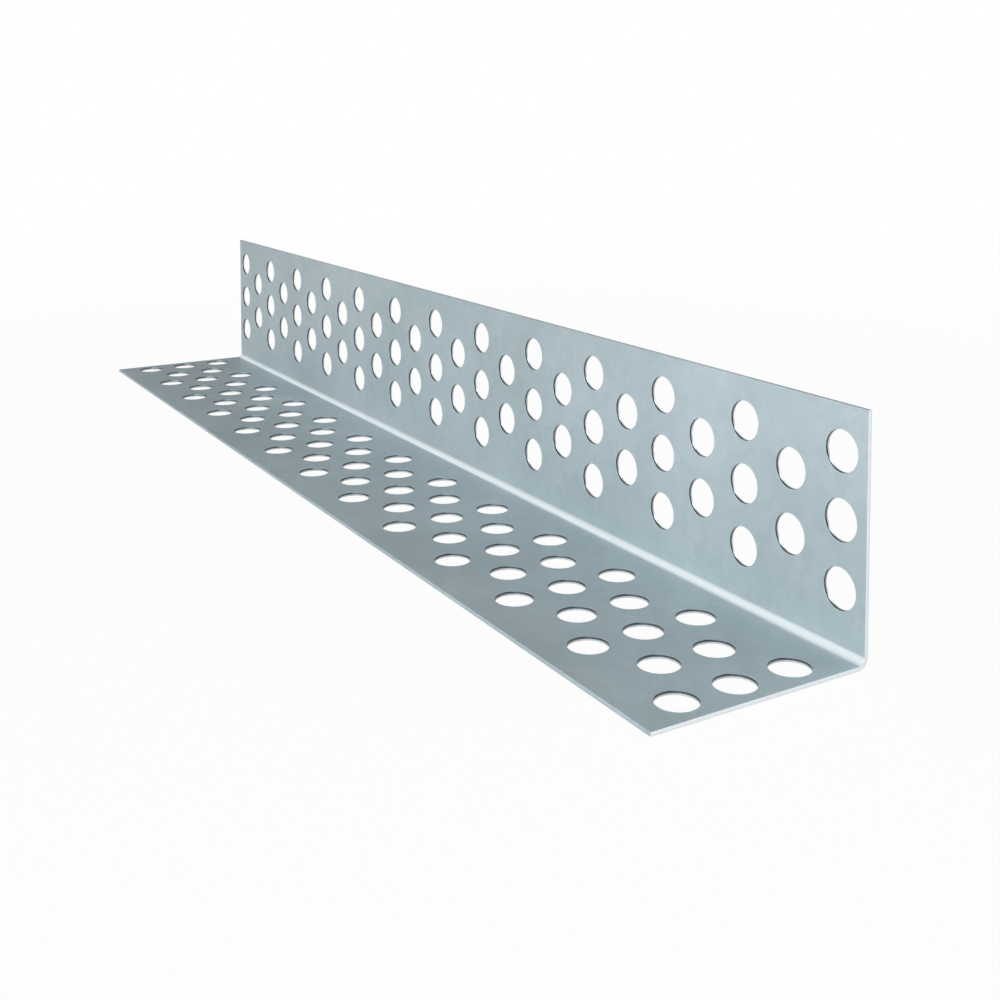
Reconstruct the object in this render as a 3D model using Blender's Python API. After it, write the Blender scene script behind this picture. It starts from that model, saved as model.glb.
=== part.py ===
"""Perforated corner bead for drywall, as a short length of stock.

One strip of thin galvanised sheet steel, punched with rows of round holes that stagger from
column to column, and folded lengthwise into an L with a small bend radius.

Metres, +Z up. The length runs along X, the bead lies on its base flange, and the standing
flange is at +Y, so the hollow side that takes the board's corner faces -Y and up. The origin
is under the middle of the bead's box.
"""

import math

import bmesh
import bpy
from mathutils import Matrix, Vector

# Folded strip
LENGTH = 0.206
SHEET_THICKNESS = 0.0005
BASE_WIDTH = 0.0305  # outside of the fold to the free edge
STANDING_HEIGHT = 0.0295  # outside of the fold to the free edge
BEND_RADIUS = 0.001  # on the inside of the fold
BEND_SEGMENTS = 6

# Punched holes, the same on both flanges
HOLE_DIAMETER = 0.005
HOLE_SIDES = 20
ROW_STEP = 0.008
COLUMN_STEP = 0.00825
FIRST_ROW = 0.008  # outside of the fold to the centres of the first row
LEAST_MARGIN = 0.001  # metal that is always left between a hole and an edge
PUNCH_OVERRUN = 0.001  # how far a punch passes the sheet on each side

# Galvanised steel
ZINC_COLOUR = (0.45, 0.52, 0.55, 1.0)
ZINC_ROUGHNESS = 0.35
ZINC_METALLIC = 1.0

FOLD_Y = BASE_WIDTH / 2  # outer face of the standing flange


def clear_scene():
    for thing in list(bpy.data.objects):
        bpy.data.objects.remove(thing, do_unlink=True)


def galvanised_steel():
    material = bpy.data.materials.new("galvanised_steel")
    material.use_nodes = True
    shader = material.node_tree.nodes["Principled BSDF"]
    shader.inputs["Base Color"].default_value = ZINC_COLOUR
    shader.inputs["Metallic"].default_value = ZINC_METALLIC
    shader.inputs["Roughness"].default_value = ZINC_ROUGHNESS
    return material


def object_from(mesh_builder, name):
    """A scene object named name, holding what is in the bmesh."""
    mesh = bpy.data.meshes.new(name)
    mesh_builder.to_mesh(mesh)
    mesh_builder.free()
    made = bpy.data.objects.new(name, mesh)
    bpy.context.scene.collection.objects.link(made)
    return made


def bend_arc(radius):
    """Points (y, z) of a quarter turn about the bend's centre, from the base to the upright."""
    centre_y = FOLD_Y - SHEET_THICKNESS - BEND_RADIUS
    centre_z = SHEET_THICKNESS + BEND_RADIUS
    points = []
    for step in range(BEND_SEGMENTS + 1):
        turn = math.pi / 2 * step / BEND_SEGMENTS
        points.append((centre_y + radius * math.sin(turn), centre_z - radius * math.cos(turn)))
    return points


def section():
    """Outline (y, z) of the folded sheet, once round: outer faces up, inner faces back down."""
    base_edge_y = FOLD_Y - BASE_WIDTH
    inner_y = FOLD_Y - SHEET_THICKNESS
    outline = [(base_edge_y, 0.0)]
    outline += bend_arc(BEND_RADIUS + SHEET_THICKNESS)
    outline += [(FOLD_Y, STANDING_HEIGHT), (inner_y, STANDING_HEIGHT)]
    outline += reversed(bend_arc(BEND_RADIUS))
    outline += [(base_edge_y, SHEET_THICKNESS)]
    return outline


def folded_strip():
    """The unpunched L: its section extruded over the whole length."""
    shape = bmesh.new()
    ring = [shape.verts.new((-LENGTH / 2, y, z)) for y, z in section()]
    end_face = shape.faces.new(ring)
    drawn = bmesh.ops.extrude_face_region(shape, geom=[end_face], use_keep_orig=True)
    far_ring = [item for item in drawn["geom"] if isinstance(item, bmesh.types.BMVert)]
    bmesh.ops.translate(shape, verts=far_ring, vec=(LENGTH, 0.0, 0.0))
    bmesh.ops.recalc_face_normals(shape, faces=shape.faces)
    return object_from(shape, "corner_bead")


def positions(first, step, last):
    """Evenly stepped positions from first, none past last."""
    return [first + step * i for i in range(int((last - first) / step) + 1)]


def column_positions():
    """X of every column of holes, centred on the length."""
    room = LENGTH - HOLE_DIAMETER - 2 * LEAST_MARGIN
    columns = positions(0.0, COLUMN_STEP, room)
    return [x - columns[-1] / 2 for x in columns]


def hole_centres(flange_width):
    """(x, distance from the outside of the fold) of every hole in one flange.

    Every second column is shifted by half a row step towards the free edge.
    """
    last_row = flange_width - LEAST_MARGIN - HOLE_DIAMETER / 2
    centres = []
    for number, x in enumerate(column_positions()):
        shift = ROW_STEP / 2 if number % 2 else 0.0
        for distance in positions(FIRST_ROW + shift, ROW_STEP, last_row):
            centres.append((x, distance))
    return centres


def punches(name, places, turned):
    """A set of round punches in one object, which cuts the sheet and is not part of the bead."""
    tools = bmesh.new()
    for place in places:
        bmesh.ops.create_cone(
            tools,
            cap_ends=True,
            segments=HOLE_SIDES,
            radius1=HOLE_DIAMETER / 2,
            radius2=HOLE_DIAMETER / 2,
            depth=SHEET_THICKNESS + 2 * PUNCH_OVERRUN,
            matrix=Matrix.Translation(place) @ turned,
        )
    made = object_from(tools, name)
    made.hide_render = True
    made.display_type = "WIRE"
    return made


def base_punches():
    middle = SHEET_THICKNESS / 2
    places = [Vector((x, FOLD_Y - reach, middle)) for x, reach in hole_centres(BASE_WIDTH)]
    return punches("base_punches", places, Matrix.Identity(4))


def standing_punches():
    middle = FOLD_Y - SHEET_THICKNESS / 2
    places = [Vector((x, middle, height)) for x, height in hole_centres(STANDING_HEIGHT)]
    return punches("standing_punches", places, Matrix.Rotation(math.pi / 2, 4, "X"))


def punch(bead, tools):
    cut = bead.modifiers.new(tools.name, "BOOLEAN")
    cut.operation = "DIFFERENCE"
    cut.solver = "EXACT"
    cut.object = tools


def corner_bead():
    bead = folded_strip()
    punch(bead, base_punches())
    punch(bead, standing_punches())
    bead.data.materials.append(galvanised_steel())
    bead.data.shade_smooth()
    bead.data.set_sharp_from_angle(angle=math.radians(30))


clear_scene()
corner_bead()
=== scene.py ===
"""The looks of a short length of perforated drywall corner bead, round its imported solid."""

import math

import bmesh
import bpy
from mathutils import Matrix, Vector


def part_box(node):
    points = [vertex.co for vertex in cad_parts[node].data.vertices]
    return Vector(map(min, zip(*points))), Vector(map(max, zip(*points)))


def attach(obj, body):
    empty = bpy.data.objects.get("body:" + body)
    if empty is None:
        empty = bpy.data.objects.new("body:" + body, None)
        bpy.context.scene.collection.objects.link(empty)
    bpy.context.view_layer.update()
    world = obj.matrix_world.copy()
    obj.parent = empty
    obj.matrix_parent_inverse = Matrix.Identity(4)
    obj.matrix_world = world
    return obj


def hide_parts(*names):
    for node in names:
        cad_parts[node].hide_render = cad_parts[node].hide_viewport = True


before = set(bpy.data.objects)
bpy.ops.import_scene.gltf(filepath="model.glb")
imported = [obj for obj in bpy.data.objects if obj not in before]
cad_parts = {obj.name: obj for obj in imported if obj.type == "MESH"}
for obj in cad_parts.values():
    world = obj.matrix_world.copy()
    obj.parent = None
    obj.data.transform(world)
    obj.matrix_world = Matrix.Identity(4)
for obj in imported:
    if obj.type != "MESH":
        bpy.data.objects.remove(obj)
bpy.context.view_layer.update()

# Folded strip
# The bead is one strip of sheet steel half a millimetre thick, bent along its middle by rollers.
# The fold is an even small radius, and it is the only thing that makes the flimsy sheet stiff.
lowest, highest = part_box("corner_bead")
LENGTH = highest.x - lowest.x
BASE_WIDTH = highest.y - lowest.y
STANDING_HEIGHT = highest.z - lowest.z
SHEET_THICKNESS = 0.0005
INNER_BEND_RADIUS = 0.001
FOLD_SEGMENTS = 16
NEAR_ZERO = 1e-5

bpy.ops.object.select_all(action="DESELECT")
bpy.ops.mesh.primitive_plane_add(size=1, location=((lowest + highest) / 2).to_tuple())
strip = bpy.context.object
strip.name = "punched_strip"
strip.location.z = lowest.z
strip.scale = (LENGTH, BASE_WIDTH, 1)
bpy.ops.object.transform_apply(location=True, rotation=False, scale=True)


def select_edges(wanted):
    """In edit mode, leaves selected only the edges whose two ends pass the test."""
    mesh = bmesh.from_edit_mesh(bpy.context.object.data)
    bpy.ops.mesh.select_mode(type="EDGE")
    bpy.ops.mesh.select_all(action="DESELECT")
    for edge in mesh.edges:
        edge.select_set(all(wanted(end.co) for end in edge.verts))
    bmesh.update_edit_mesh(bpy.context.object.data)


def on_fold_line(point):
    return abs(point.y - highest.y) < NEAR_ZERO and abs(point.z - lowest.z) < NEAR_ZERO


bpy.ops.object.mode_set(mode="EDIT")
select_edges(on_fold_line)
bpy.ops.mesh.extrude_region_move(TRANSFORM_OT_translate={"value": (0, 0, STANDING_HEIGHT)})
select_edges(on_fold_line)
bpy.ops.mesh.bevel(
    offset=INNER_BEND_RADIUS + SHEET_THICKNESS, segments=FOLD_SEGMENTS, affect="EDGES"
)
bpy.ops.mesh.select_all(action="SELECT")
bpy.ops.mesh.normals_make_consistent(inside=True)
bpy.ops.object.mode_set(mode="OBJECT")


def apply_modifier(piece, kind, **settings):
    """Adds a modifier to the piece, sets it and applies it at once."""
    bpy.context.view_layer.objects.active = piece
    modifier = piece.modifiers.new(kind.lower(), kind)
    for name, value in settings.items():
        setattr(modifier, name, value)
    bpy.ops.object.modifier_apply(modifier=modifier.name)


apply_modifier(strip, "SOLIDIFY", thickness=SHEET_THICKNESS, offset=1.0, use_even_offset=True)


# Punched holes
# Every hole is a clean round of 5 mm, punched through the flat strip in one stroke of a comb of
# punches. Columns of three and of two follow each other, so the holes stagger along the length.
HOLE_DIAMETER = 0.005
HOLE_SIDES = 64
ROW_STEP = 0.008
COLUMN_STEP = 0.00825
COLUMNS = 25
FIRST_ROW = 0.008
ROWS = 3
PUNCH_LENGTH = 0.003


def comb_of_punches(rows, columns, first_row, first_column, standing):
    """One punch at the comb's corner, repeated over its rows and columns, in one object."""
    x = lowest.x + first_column
    if standing:
        place = (x, highest.y, lowest.z + first_row)
        turn = (math.pi / 2, 0, 0)
        row_step = (0, 0, ROW_STEP)
    else:
        place = (x, highest.y - first_row, lowest.z)
        turn = (0, 0, 0)
        row_step = (0, -ROW_STEP, 0)
    bpy.ops.mesh.primitive_cylinder_add(
        vertices=HOLE_SIDES, radius=HOLE_DIAMETER / 2, depth=PUNCH_LENGTH, location=place, rotation=turn
    )
    comb = bpy.context.object
    bpy.ops.object.transform_apply(location=True, rotation=True, scale=True)
    for count, step in ((rows, row_step), (columns, (2 * COLUMN_STEP, 0, 0))):
        apply_modifier(
            comb,
            "ARRAY",
            count=count,
            use_relative_offset=False,
            use_constant_offset=True,
            constant_offset_displace=step,
        )
    return comb


first_column = (LENGTH - (COLUMNS - 1) * COLUMN_STEP) / 2
for standing in (False, True):
    for rows, shift, late in ((ROWS, 0.0, 0), (ROWS - 1, ROW_STEP / 2, 1)):
        comb = comb_of_punches(
            rows=rows,
            columns=(COLUMNS + 1) // 2 - late,
            first_row=FIRST_ROW + shift,
            first_column=first_column + late * COLUMN_STEP,
            standing=standing,
        )
        apply_modifier(strip, "BOOLEAN", operation="DIFFERENCE", solver="EXACT", object=comb)
        bpy.data.objects.remove(comb)

# Rims and sheared edges
# Punch and shear leave every edge of the sheet a few hundredths of a millimetre rounded, and the
# light catches that rounding as a thin bright line.
EDGE_ROUNDING = 0.00004
EDGE_SEGMENTS = 2
ROUNDED_ANGLE = math.radians(60)  # rims are steeper, and the steps of fold and holes are not
SMOOTHED_ANGLE = math.radians(50)

apply_modifier(
    strip,
    "BEVEL",
    width=EDGE_ROUNDING,
    segments=EDGE_SEGMENTS,
    limit_method="ANGLE",
    angle_limit=ROUNDED_ANGLE,
)
bpy.ops.object.select_all(action="DESELECT")
strip.select_set(True)
bpy.context.view_layer.objects.active = strip
bpy.ops.object.shade_smooth_by_angle(angle=SMOOTHED_ANGLE)
apply_modifier(strip, "WEIGHTED_NORMAL", keep_sharp=True)

# Galvanised sheet
# Cold-rolled steel with a thin coat of zinc, smoothed by rolls. It looks blue-grey and satin, with
# a faint patchwork of zinc crystals and fine roll lines along the strip. Round the fold the colour
# is painted almost white, a painted highlight, and the coat there is rougher and more mirror-like.
CRYSTAL = 0.0015
CRYSTAL_CONTRAST = 0.2  # beside the clouds
CLOUD = 0.022
ROLL_LINE_WIDTH = 0.0003  # real ones are finer, and would not show
ROLL_LINE_LENGTH = 0.05
ROLL_LINE_DEPTH = 0.000004
SWELL = 0.003
SWELL_DEPTH = 0.00001
MIRRORED_SHARE = (0.4, 0.78)  # of the flat sheet and of the fold's painted highlight zone, the rest is scattered
SATIN_ROUGHNESS = (0.30, 0.44)  # from the brightest to the dullest spots
FOLD_ZONE_ROUGHNESS = 0.28  # on top of that
FOLD_ZONE_FADE = (0.0015, 0.0009)  # distances from the outside of the fold
TONE_RANGE = (0.3, 0.9)  # clouds and crystals together, from the darker zinc to the paler one
DULLNESS_RANGE = (0.6, 1.4)  # clouds and roll lines together
FACTOR, FIRST_COLOUR, SECOND_COLOUR = 0, 6, 7  # inputs of a Mix node that mixes colours
MIXED_COLOUR = 2  # its output


def linear(hex_colour):
    """An sRGB colour written as six hex digits, in the linear values that a shader takes."""
    channels = [int(hex_colour[i : i + 2], 16) / 255 for i in (0, 2, 4)]
    return [c / 12.92 if c <= 0.04045 else ((c + 0.055) / 1.055) ** 2.4 for c in channels] + [1.0]


def add_node(owner, kind, links=(), inputs=(), **settings):
    """Adds one node with its settings and input values, and links each (input, source socket)."""
    tree = owner.node_tree
    node = tree.nodes.new(kind)
    for name, value in settings.items():
        setattr(node, name, value)
    for name, value in inputs:
        node.inputs[name].default_value = value
    for name, source in links:
        tree.links.new(source, node.inputs[name])
    return node


zinc = bpy.data.materials.new("smooth_galvanised_zinc")
zinc.use_nodes = True
zinc_shader = zinc.node_tree.nodes["Principled BSDF"]
place = add_node(zinc, "ShaderNodeTexCoord").outputs["Object"]

crystals = add_node(
    zinc, "ShaderNodeTexVoronoi", links=[("Vector", place)], inputs=[("Scale", 1 / CRYSTAL)]
)
crystal_tone = add_node(
    zinc, "ShaderNodeSeparateColor", links=[("Color", crystals.outputs["Color"])]
)
clouds = add_node(
    zinc,
    "ShaderNodeTexNoise",
    links=[("Vector", place)],
    inputs=[("Scale", 1 / CLOUD), ("Detail", 3.0)],
)
tone = add_node(
    zinc,
    "ShaderNodeMath",
    operation="MULTIPLY_ADD",
    links=[(0, crystal_tone.outputs["Red"]), (2, clouds.outputs["Fac"])],
    inputs=[(1, CRYSTAL_CONTRAST)],
)
patchwork = add_node(
    zinc,
    "ShaderNodeMapRange",
    links=[("Value", tone.outputs["Value"])],
    inputs=[("From Min", TONE_RANGE[0]), ("From Max", TONE_RANGE[1])],
)
zinc_colour = add_node(
    zinc,
    "ShaderNodeMix",
    data_type="RGBA",
    links=[(FACTOR, patchwork.outputs["Result"])],
    inputs=[(FIRST_COLOUR, linear("ABBABE")), (SECOND_COLOUR, linear("BDCACF"))],
)

where = add_node(zinc, "ShaderNodeSeparateXYZ", links=[("Vector", place)])
beside_standing = add_node(
    zinc,
    "ShaderNodeMapRange",
    interpolation_type="SMOOTHSTEP",
    links=[("Value", where.outputs["Y"])],
    inputs=[("From Min", highest.y - FOLD_ZONE_FADE[0]), ("From Max", highest.y - FOLD_ZONE_FADE[1])],
)
beside_base = add_node(
    zinc,
    "ShaderNodeMapRange",
    interpolation_type="SMOOTHSTEP",
    links=[("Value", where.outputs["Z"])],
    inputs=[("From Min", lowest.z + FOLD_ZONE_FADE[0]), ("From Max", lowest.z + FOLD_ZONE_FADE[1])],
)
# Painted highlight: a mask of the fold's outside, where the colour is painted almost white for the band
# of light there
painted_highlight_zone = add_node(
    zinc,
    "ShaderNodeMath",
    operation="MULTIPLY",
    links=[(0, beside_standing.outputs["Result"]), (1, beside_base.outputs["Result"])],
)
# Painted highlight: round the fold the zinc colour turns almost white
colour = add_node(
    zinc,
    "ShaderNodeMix",
    data_type="RGBA",
    links=[(FACTOR, painted_highlight_zone.outputs["Value"]), (FIRST_COLOUR, zinc_colour.outputs[MIXED_COLOUR])],
    inputs=[(SECOND_COLOUR, linear("E6EBED"))],
)
metal_share = add_node(
    zinc,
    "ShaderNodeMapRange",
    links=[("Value", painted_highlight_zone.outputs["Value"])],
    inputs=[("To Min", MIRRORED_SHARE[0]), ("To Max", MIRRORED_SHARE[1])],
)

stretched = add_node(
    zinc,
    "ShaderNodeMapping",
    links=[("Vector", place)],
    inputs=[("Scale", (1 / ROLL_LINE_LENGTH, 1 / ROLL_LINE_WIDTH, 1 / ROLL_LINE_WIDTH))],
)
roll_lines = add_node(
    zinc,
    "ShaderNodeTexNoise",
    links=[("Vector", stretched.outputs["Vector"])],
    inputs=[("Scale", 1.0), ("Detail", 2.0)],
)
dullness = add_node(
    zinc,
    "ShaderNodeMath",
    operation="ADD",
    links=[(0, clouds.outputs["Fac"]), (1, roll_lines.outputs["Fac"])],
)
roughness = add_node(
    zinc,
    "ShaderNodeMapRange",
    links=[("Value", dullness.outputs["Value"])],
    inputs=[
        ("From Min", DULLNESS_RANGE[0]),
        ("From Max", DULLNESS_RANGE[1]),
        ("To Min", SATIN_ROUGHNESS[0]),
        ("To Max", SATIN_ROUGHNESS[1]),
    ],
)
fold_zone_roughness = add_node(
    zinc,
    "ShaderNodeMath",
    operation="MULTIPLY_ADD",
    links=[(0, painted_highlight_zone.outputs["Value"]), (2, roughness.outputs["Result"])],
    inputs=[(1, FOLD_ZONE_ROUGHNESS)],
)
swells = add_node(
    zinc,
    "ShaderNodeTexNoise",
    links=[("Vector", place)],
    inputs=[("Scale", 1 / SWELL), ("Detail", 1.0)],
)
swell_bump = add_node(
    zinc,
    "ShaderNodeBump",
    links=[("Height", swells.outputs["Fac"])],
    inputs=[("Strength", 1.0), ("Distance", SWELL_DEPTH)],
)
line_bump = add_node(
    zinc,
    "ShaderNodeBump",
    links=[("Height", roll_lines.outputs["Fac"]), ("Normal", swell_bump.outputs["Normal"])],
    inputs=[("Strength", 1.0), ("Distance", ROLL_LINE_DEPTH)],
)
for socket, source in (
    ("Base Color", colour.outputs[MIXED_COLOUR]),
    ("Metallic", metal_share.outputs["Result"]),
    ("Roughness", fold_zone_roughness.outputs["Value"]),
    ("Normal", line_bump.outputs["Normal"]),
):
    zinc.node_tree.links.new(source, zinc_shader.inputs[socket])

# Punched walls and sheared ends
# The tool irons the first part of its way through the sheet smooth, and the rest tears and stays
# dull. The punched walls are smooth first and pale and grainy after, with the smooth band painted
# dark as painted shade. The sheared ends are bare steel, painted near white as painted light.
IRONED_DEPTH = 0.00027
ZONE_RAGGEDNESS = 0.0001
TORN_GRAIN = 0.00012  # real grain is a few hundredths of a millimetre, and would not show
TORN_DEPTH = 0.00002
TORN_ROUGHNESS = 0.45
GRAIN_RANGE = (0.3, 0.9)  # shares of the raggedness over which the torn zone sets in
FOLD_ROOM = 0.003  # no hole comes this near to the outside of the fold
WALL_TURN = 0.5  # a wall's normal has less than this in the direction of the sheet's thickness
FREE_EDGE_TURN = 0.3  # a long free edge's normal has less than this along the strip
END_TURN = 0.7  # an end's normal has more than this along the strip
PUNCHED, SHEARED = 1, 2  # places in the strip's list of materials, after the zinc


def cut_steel(name, ironed, torn, mirrored_shares, ironed_roughness):
    """Bare steel in two zones by the depth below the inner face, from two sRGB hex colours, which carry
    painted shade and light as well.
    """
    material = bpy.data.materials.new(name)
    material.use_nodes = True
    shader = material.node_tree.nodes["Principled BSDF"]
    place = add_node(material, "ShaderNodeTexCoord").outputs["Object"]
    where = add_node(material, "ShaderNodeSeparateXYZ", links=[("Vector", place)])
    depth_in_base = add_node(
        material,
        "ShaderNodeMath",
        operation="SUBTRACT",
        links=[(1, where.outputs["Z"])],
        inputs=[(0, lowest.z + SHEET_THICKNESS)],
    )
    depth_in_standing = add_node(
        material,
        "ShaderNodeMath",
        operation="SUBTRACT",
        links=[(0, where.outputs["Y"])],
        inputs=[(1, highest.y - SHEET_THICKNESS)],
    )
    depth = add_node(
        material,
        "ShaderNodeMath",
        operation="MAXIMUM",
        links=[(0, depth_in_base.outputs["Value"]), (1, depth_in_standing.outputs["Value"])],
    )
    grain = add_node(
        material,
        "ShaderNodeTexNoise",
        links=[("Vector", place)],
        inputs=[("Scale", 1 / TORN_GRAIN), ("Detail", 2.0)],
    )
    ragged = add_node(
        material,
        "ShaderNodeMath",
        operation="MULTIPLY_ADD",
        links=[(0, grain.outputs["Fac"]), (2, depth.outputs["Value"])],
        inputs=[(1, ZONE_RAGGEDNESS)],
    )
    torn_zone = add_node(
        material,
        "ShaderNodeMapRange",
        interpolation_type="SMOOTHSTEP",
        links=[("Value", ragged.outputs["Value"])],
        inputs=[
            ("From Min", IRONED_DEPTH + GRAIN_RANGE[0] * ZONE_RAGGEDNESS),
            ("From Max", IRONED_DEPTH + GRAIN_RANGE[1] * ZONE_RAGGEDNESS),
        ],
    )
    colour = add_node(
        material,
        "ShaderNodeMix",
        data_type="RGBA",
        links=[(FACTOR, torn_zone.outputs["Result"])],
        inputs=[(FIRST_COLOUR, linear(ironed)), (SECOND_COLOUR, linear(torn))],
    )
    metal_share = add_node(
        material,
        "ShaderNodeMapRange",
        links=[("Value", torn_zone.outputs["Result"])],
        inputs=[("To Min", mirrored_shares[0]), ("To Max", mirrored_shares[1])],
    )
    roughness = add_node(
        material,
        "ShaderNodeMapRange",
        links=[("Value", torn_zone.outputs["Result"])],
        inputs=[("To Min", ironed_roughness), ("To Max", TORN_ROUGHNESS)],
    )
    tear = add_node(
        material,
        "ShaderNodeBump",
        links=[("Height", grain.outputs["Fac"]), ("Strength", torn_zone.outputs["Result"])],
        inputs=[("Distance", TORN_DEPTH)],
    )
    for socket, source in (
        ("Base Color", colour.outputs[MIXED_COLOUR]),
        ("Metallic", metal_share.outputs["Result"]),
        ("Roughness", roughness.outputs["Result"]),
        ("Normal", tear.outputs["Normal"]),
    ):
        material.node_tree.links.new(source, shader.inputs[socket])
    return material


# Painted shade: the ironed band of the punched walls is painted dark grey, for the shade and dark
# reflections inside the holes
punched_wall = cut_steel(
    "punched_steel_wall",
    ironed="666F74",
    torn="DDE1E3",
    mirrored_shares=(1.0, 0.5),
    ironed_roughness=0.22,
)
# Painted light: both bands of the sheared ends are painted near white, for the light that falls on the
# ends
sheared_end = cut_steel(
    "sheared_steel_end",
    ironed="F2F6F9",
    torn="EBECEE",
    mirrored_shares=(0.25, 0.25),
    ironed_roughness=0.35,
)

strip.data.materials.clear()
for material in (zinc, punched_wall, sheared_end):
    strip.data.materials.append(material)
for face in strip.data.polygons:
    centre, normal = face.center, face.normal
    in_base = centre.z < lowest.z + SHEET_THICKNESS and centre.y < highest.y - FOLD_ROOM
    in_standing = centre.y > highest.y - SHEET_THICKNESS and centre.z > lowest.z + FOLD_ROOM
    crosses_base = in_base and abs(normal.z) < WALL_TURN
    crosses_standing = in_standing and abs(normal.y) < WALL_TURN
    on_free_edge = abs(normal.x) < FREE_EDGE_TURN and (
        centre.y < lowest.y + EDGE_ROUNDING or centre.z > highest.z - EDGE_ROUNDING
    )
    if abs(centre.x) > highest.x - EDGE_ROUNDING and abs(normal.x) > END_TURN:
        face.material_index = SHEARED
    elif (crosses_base or crosses_standing) and not on_free_edge:
        face.material_index = PUNCHED

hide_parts("corner_bead")
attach(strip, "root")

# Camera
# The near end of the bead stands just right of the middle, and the camera looks down its length
# from a little above the standing flange. The lens is shifted down, so that uprights stay upright.
CAMERA_PLACE = (0.204189, -0.092669, 0.063751)
DEGREES_DOWN = 3.6
DEGREES_ROUND = 58.934  # anticlockwise, from looking along +Y

camera = bpy.data.cameras.new("camera")
camera.lens = 46.77
camera.sensor_width = 36.0
camera.shift_x = -0.010
camera.shift_y = -0.3175
camera.clip_start = 0.005
camera_object = bpy.data.objects.new("camera", camera)
camera_object.location = CAMERA_PLACE
camera_object.rotation_euler = (math.radians(90 - DEGREES_DOWN), 0, math.radians(DEGREES_ROUND))
bpy.context.scene.collection.objects.link(camera_object)
bpy.context.scene.camera = camera_object

# Paper floor
# A plain sheet of white paper, under the bead and far behind it. The camera sees it nearly white,
# with a trace of the bead's shadow beside the metal, and pure white further out.
FLOOR_SIZE = 60
FLOOR_GAP = 0.00005
WHITE_BESIDE_BEAD = 0.96
WHITE_IN_METAL = 0.15
SHADOW_REACH = (0.08, 0.5)


def white_in_metal(owner, ray):
    """The share of white that a mirrored or refracted ray finds in this material."""
    bent = add_node(
        owner,
        "ShaderNodeMath",
        operation="MAXIMUM",
        links=[(0, ray.outputs["Is Glossy Ray"]), (1, ray.outputs["Is Transmission Ray"])],
    )
    share = add_node(
        owner,
        "ShaderNodeMath",
        operation="MULTIPLY",
        links=[(0, bent.outputs["Value"])],
        inputs=[(1, WHITE_IN_METAL)],
    )
    return share.outputs["Value"]


bpy.ops.mesh.primitive_plane_add(size=FLOOR_SIZE, location=(0, 0, 0))
floor = bpy.context.object
floor.name = "floor"
floor.location.z = lowest.z - FLOOR_GAP
paper = bpy.data.materials.new("white_matt_paper")
paper.use_nodes = True
paper.node_tree.nodes.clear()
ray = add_node(paper, "ShaderNodeLightPath")
white_mirrored = white_in_metal(paper, ray)
spot = add_node(paper, "ShaderNodeTexCoord")
distance = add_node(
    paper, "ShaderNodeVectorMath", operation="LENGTH", links=[(0, spot.outputs["Object"])]
)
whiter_outwards = add_node(
    paper,
    "ShaderNodeMapRange",
    interpolation_type="SMOOTHSTEP",
    links=[("Value", distance.outputs["Value"])],
    inputs=[
        ("From Min", SHADOW_REACH[0]),
        ("From Max", SHADOW_REACH[1]),
        ("To Min", WHITE_BESIDE_BEAD),
    ],
)
white_seen = add_node(
    paper,
    "ShaderNodeMath",
    operation="MULTIPLY",
    links=[(0, ray.outputs["Is Camera Ray"]), (1, whiter_outwards.outputs["Result"])],
)
white_share = add_node(
    paper,
    "ShaderNodeMath",
    operation="MAXIMUM",
    links=[(0, white_mirrored), (1, white_seen.outputs["Value"])],
)
matt = add_node(paper, "ShaderNodeBsdfDiffuse", inputs=[("Color", linear("D6D6D6"))])
white = add_node(paper, "ShaderNodeEmission", inputs=[("Strength", 1.0)])
surface = add_node(
    paper,
    "ShaderNodeMixShader",
    links=[
        (0, white_share.outputs["Value"]),
        (1, matt.outputs["BSDF"]),
        (2, white.outputs["Emission"]),
    ],
)
add_node(paper, "ShaderNodeOutputMaterial", links=[("Surface", surface.outputs["Shader"])])
floor.data.materials.append(paper)

# Room
# The studio round the bead is dim, so that the lamps shape the metal, and the camera sees its
# walls as white.
ROOM_LEVEL = 0.1

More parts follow.
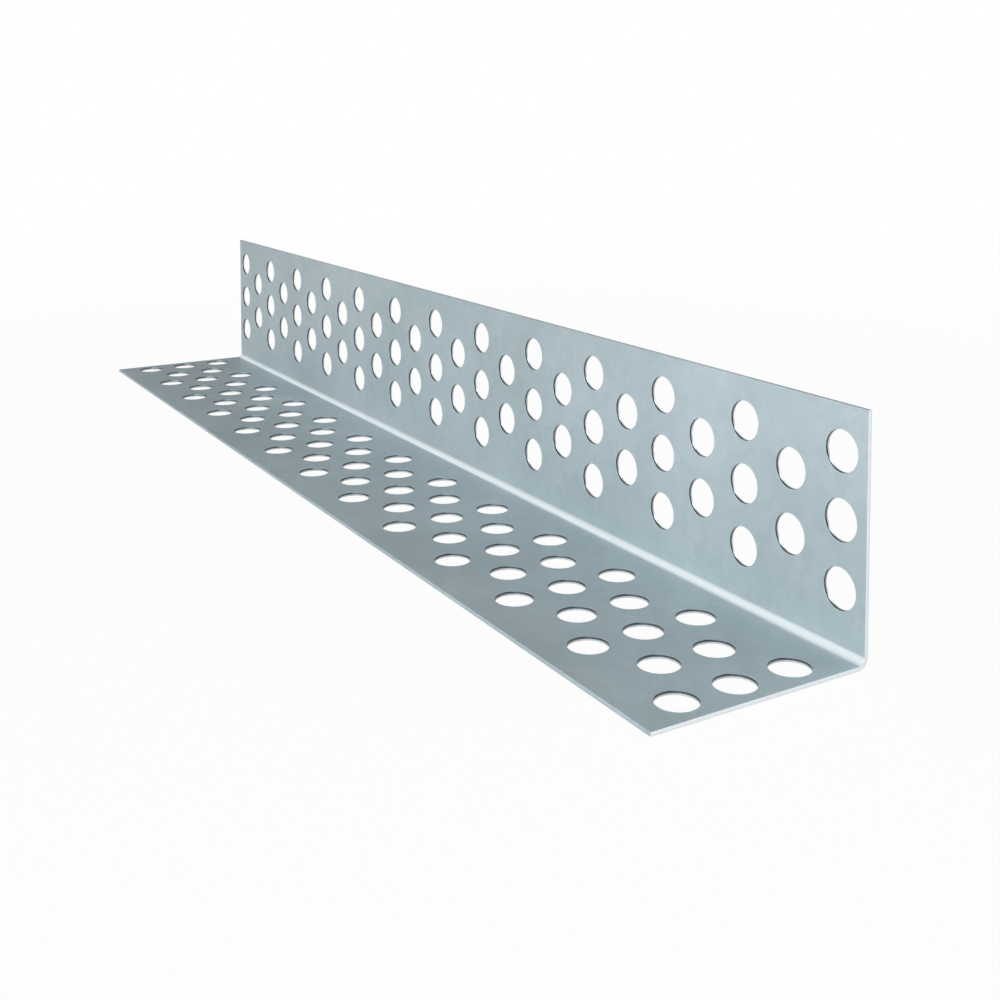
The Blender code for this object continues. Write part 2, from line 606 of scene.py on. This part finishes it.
room = bpy.data.worlds.new("studio_room")
room.use_nodes = True
room.node_tree.nodes.clear()
ray = add_node(room, "ShaderNodeLightPath")
white_share = add_node(
    room,
    "ShaderNodeMath",
    operation="MAXIMUM",
    links=[(0, white_in_metal(room, ray)), (1, ray.outputs["Is Camera Ray"])],
)
level = add_node(
    room,
    "ShaderNodeMapRange",
    links=[("Value", white_share.outputs["Value"])],
    inputs=[("To Min", ROOM_LEVEL), ("To Max", 1.0)],
)
wall = add_node(
    room,
    "ShaderNodeBackground",
    links=[("Strength", level.outputs["Result"])],
    inputs=[("Color", linear("FFFFFF"))],
)
add_node(room, "ShaderNodeOutputWorld", links=[("Surface", wall.outputs["Background"])])
bpy.context.scene.world = room
bpy.context.scene.view_settings.view_transform = "Standard"

# Softboxes
# Five soft lamps. Three stand low round the front, so that the standing flange is the brighter
# one, one hangs high at the left and shines in the fold as a bright band, and one is behind.
LAMP_COLOUR = (0.95, 0.98, 1.0)


def softbox(name, azimuth, elevation, distance, width, height, radiance):
    """A square-on lamp seen from the origin at these degrees, from +X round and from level up."""
    lamp = bpy.data.lights.new(name, "AREA")
    lamp.shape = "RECTANGLE"
    lamp.size = width
    lamp.size_y = height
    lamp.energy = radiance * math.pi * width * height
    lamp.color = LAMP_COLOUR
    box = bpy.data.objects.new(name, lamp)
    turn, rise = math.radians(azimuth), math.radians(elevation)
    box.location = (
        distance * math.cos(rise) * math.cos(turn),
        distance * math.cos(rise) * math.sin(turn),
        distance * math.sin(rise),
    )
    box.rotation_euler = (math.pi / 2 - rise, 0, turn + math.pi / 2)
    box.visible_camera = False
    bpy.context.scene.collection.objects.link(box)


softbox("low_left", 248, 10, distance=0.9, width=0.8, height=0.3, radiance=2.3)
softbox("low_front", 303, 11, distance=0.52, width=0.75, height=0.18, radiance=5.5)
softbox("high_right", 338, 22, distance=0.55, width=0.35, height=0.26, radiance=2.2)
softbox("high_left", 194, 46, distance=0.9, width=0.52, height=0.44, radiance=3.0)
softbox("high_back", 60, 36, distance=0.9, width=0.5, height=0.36, radiance=5.5)
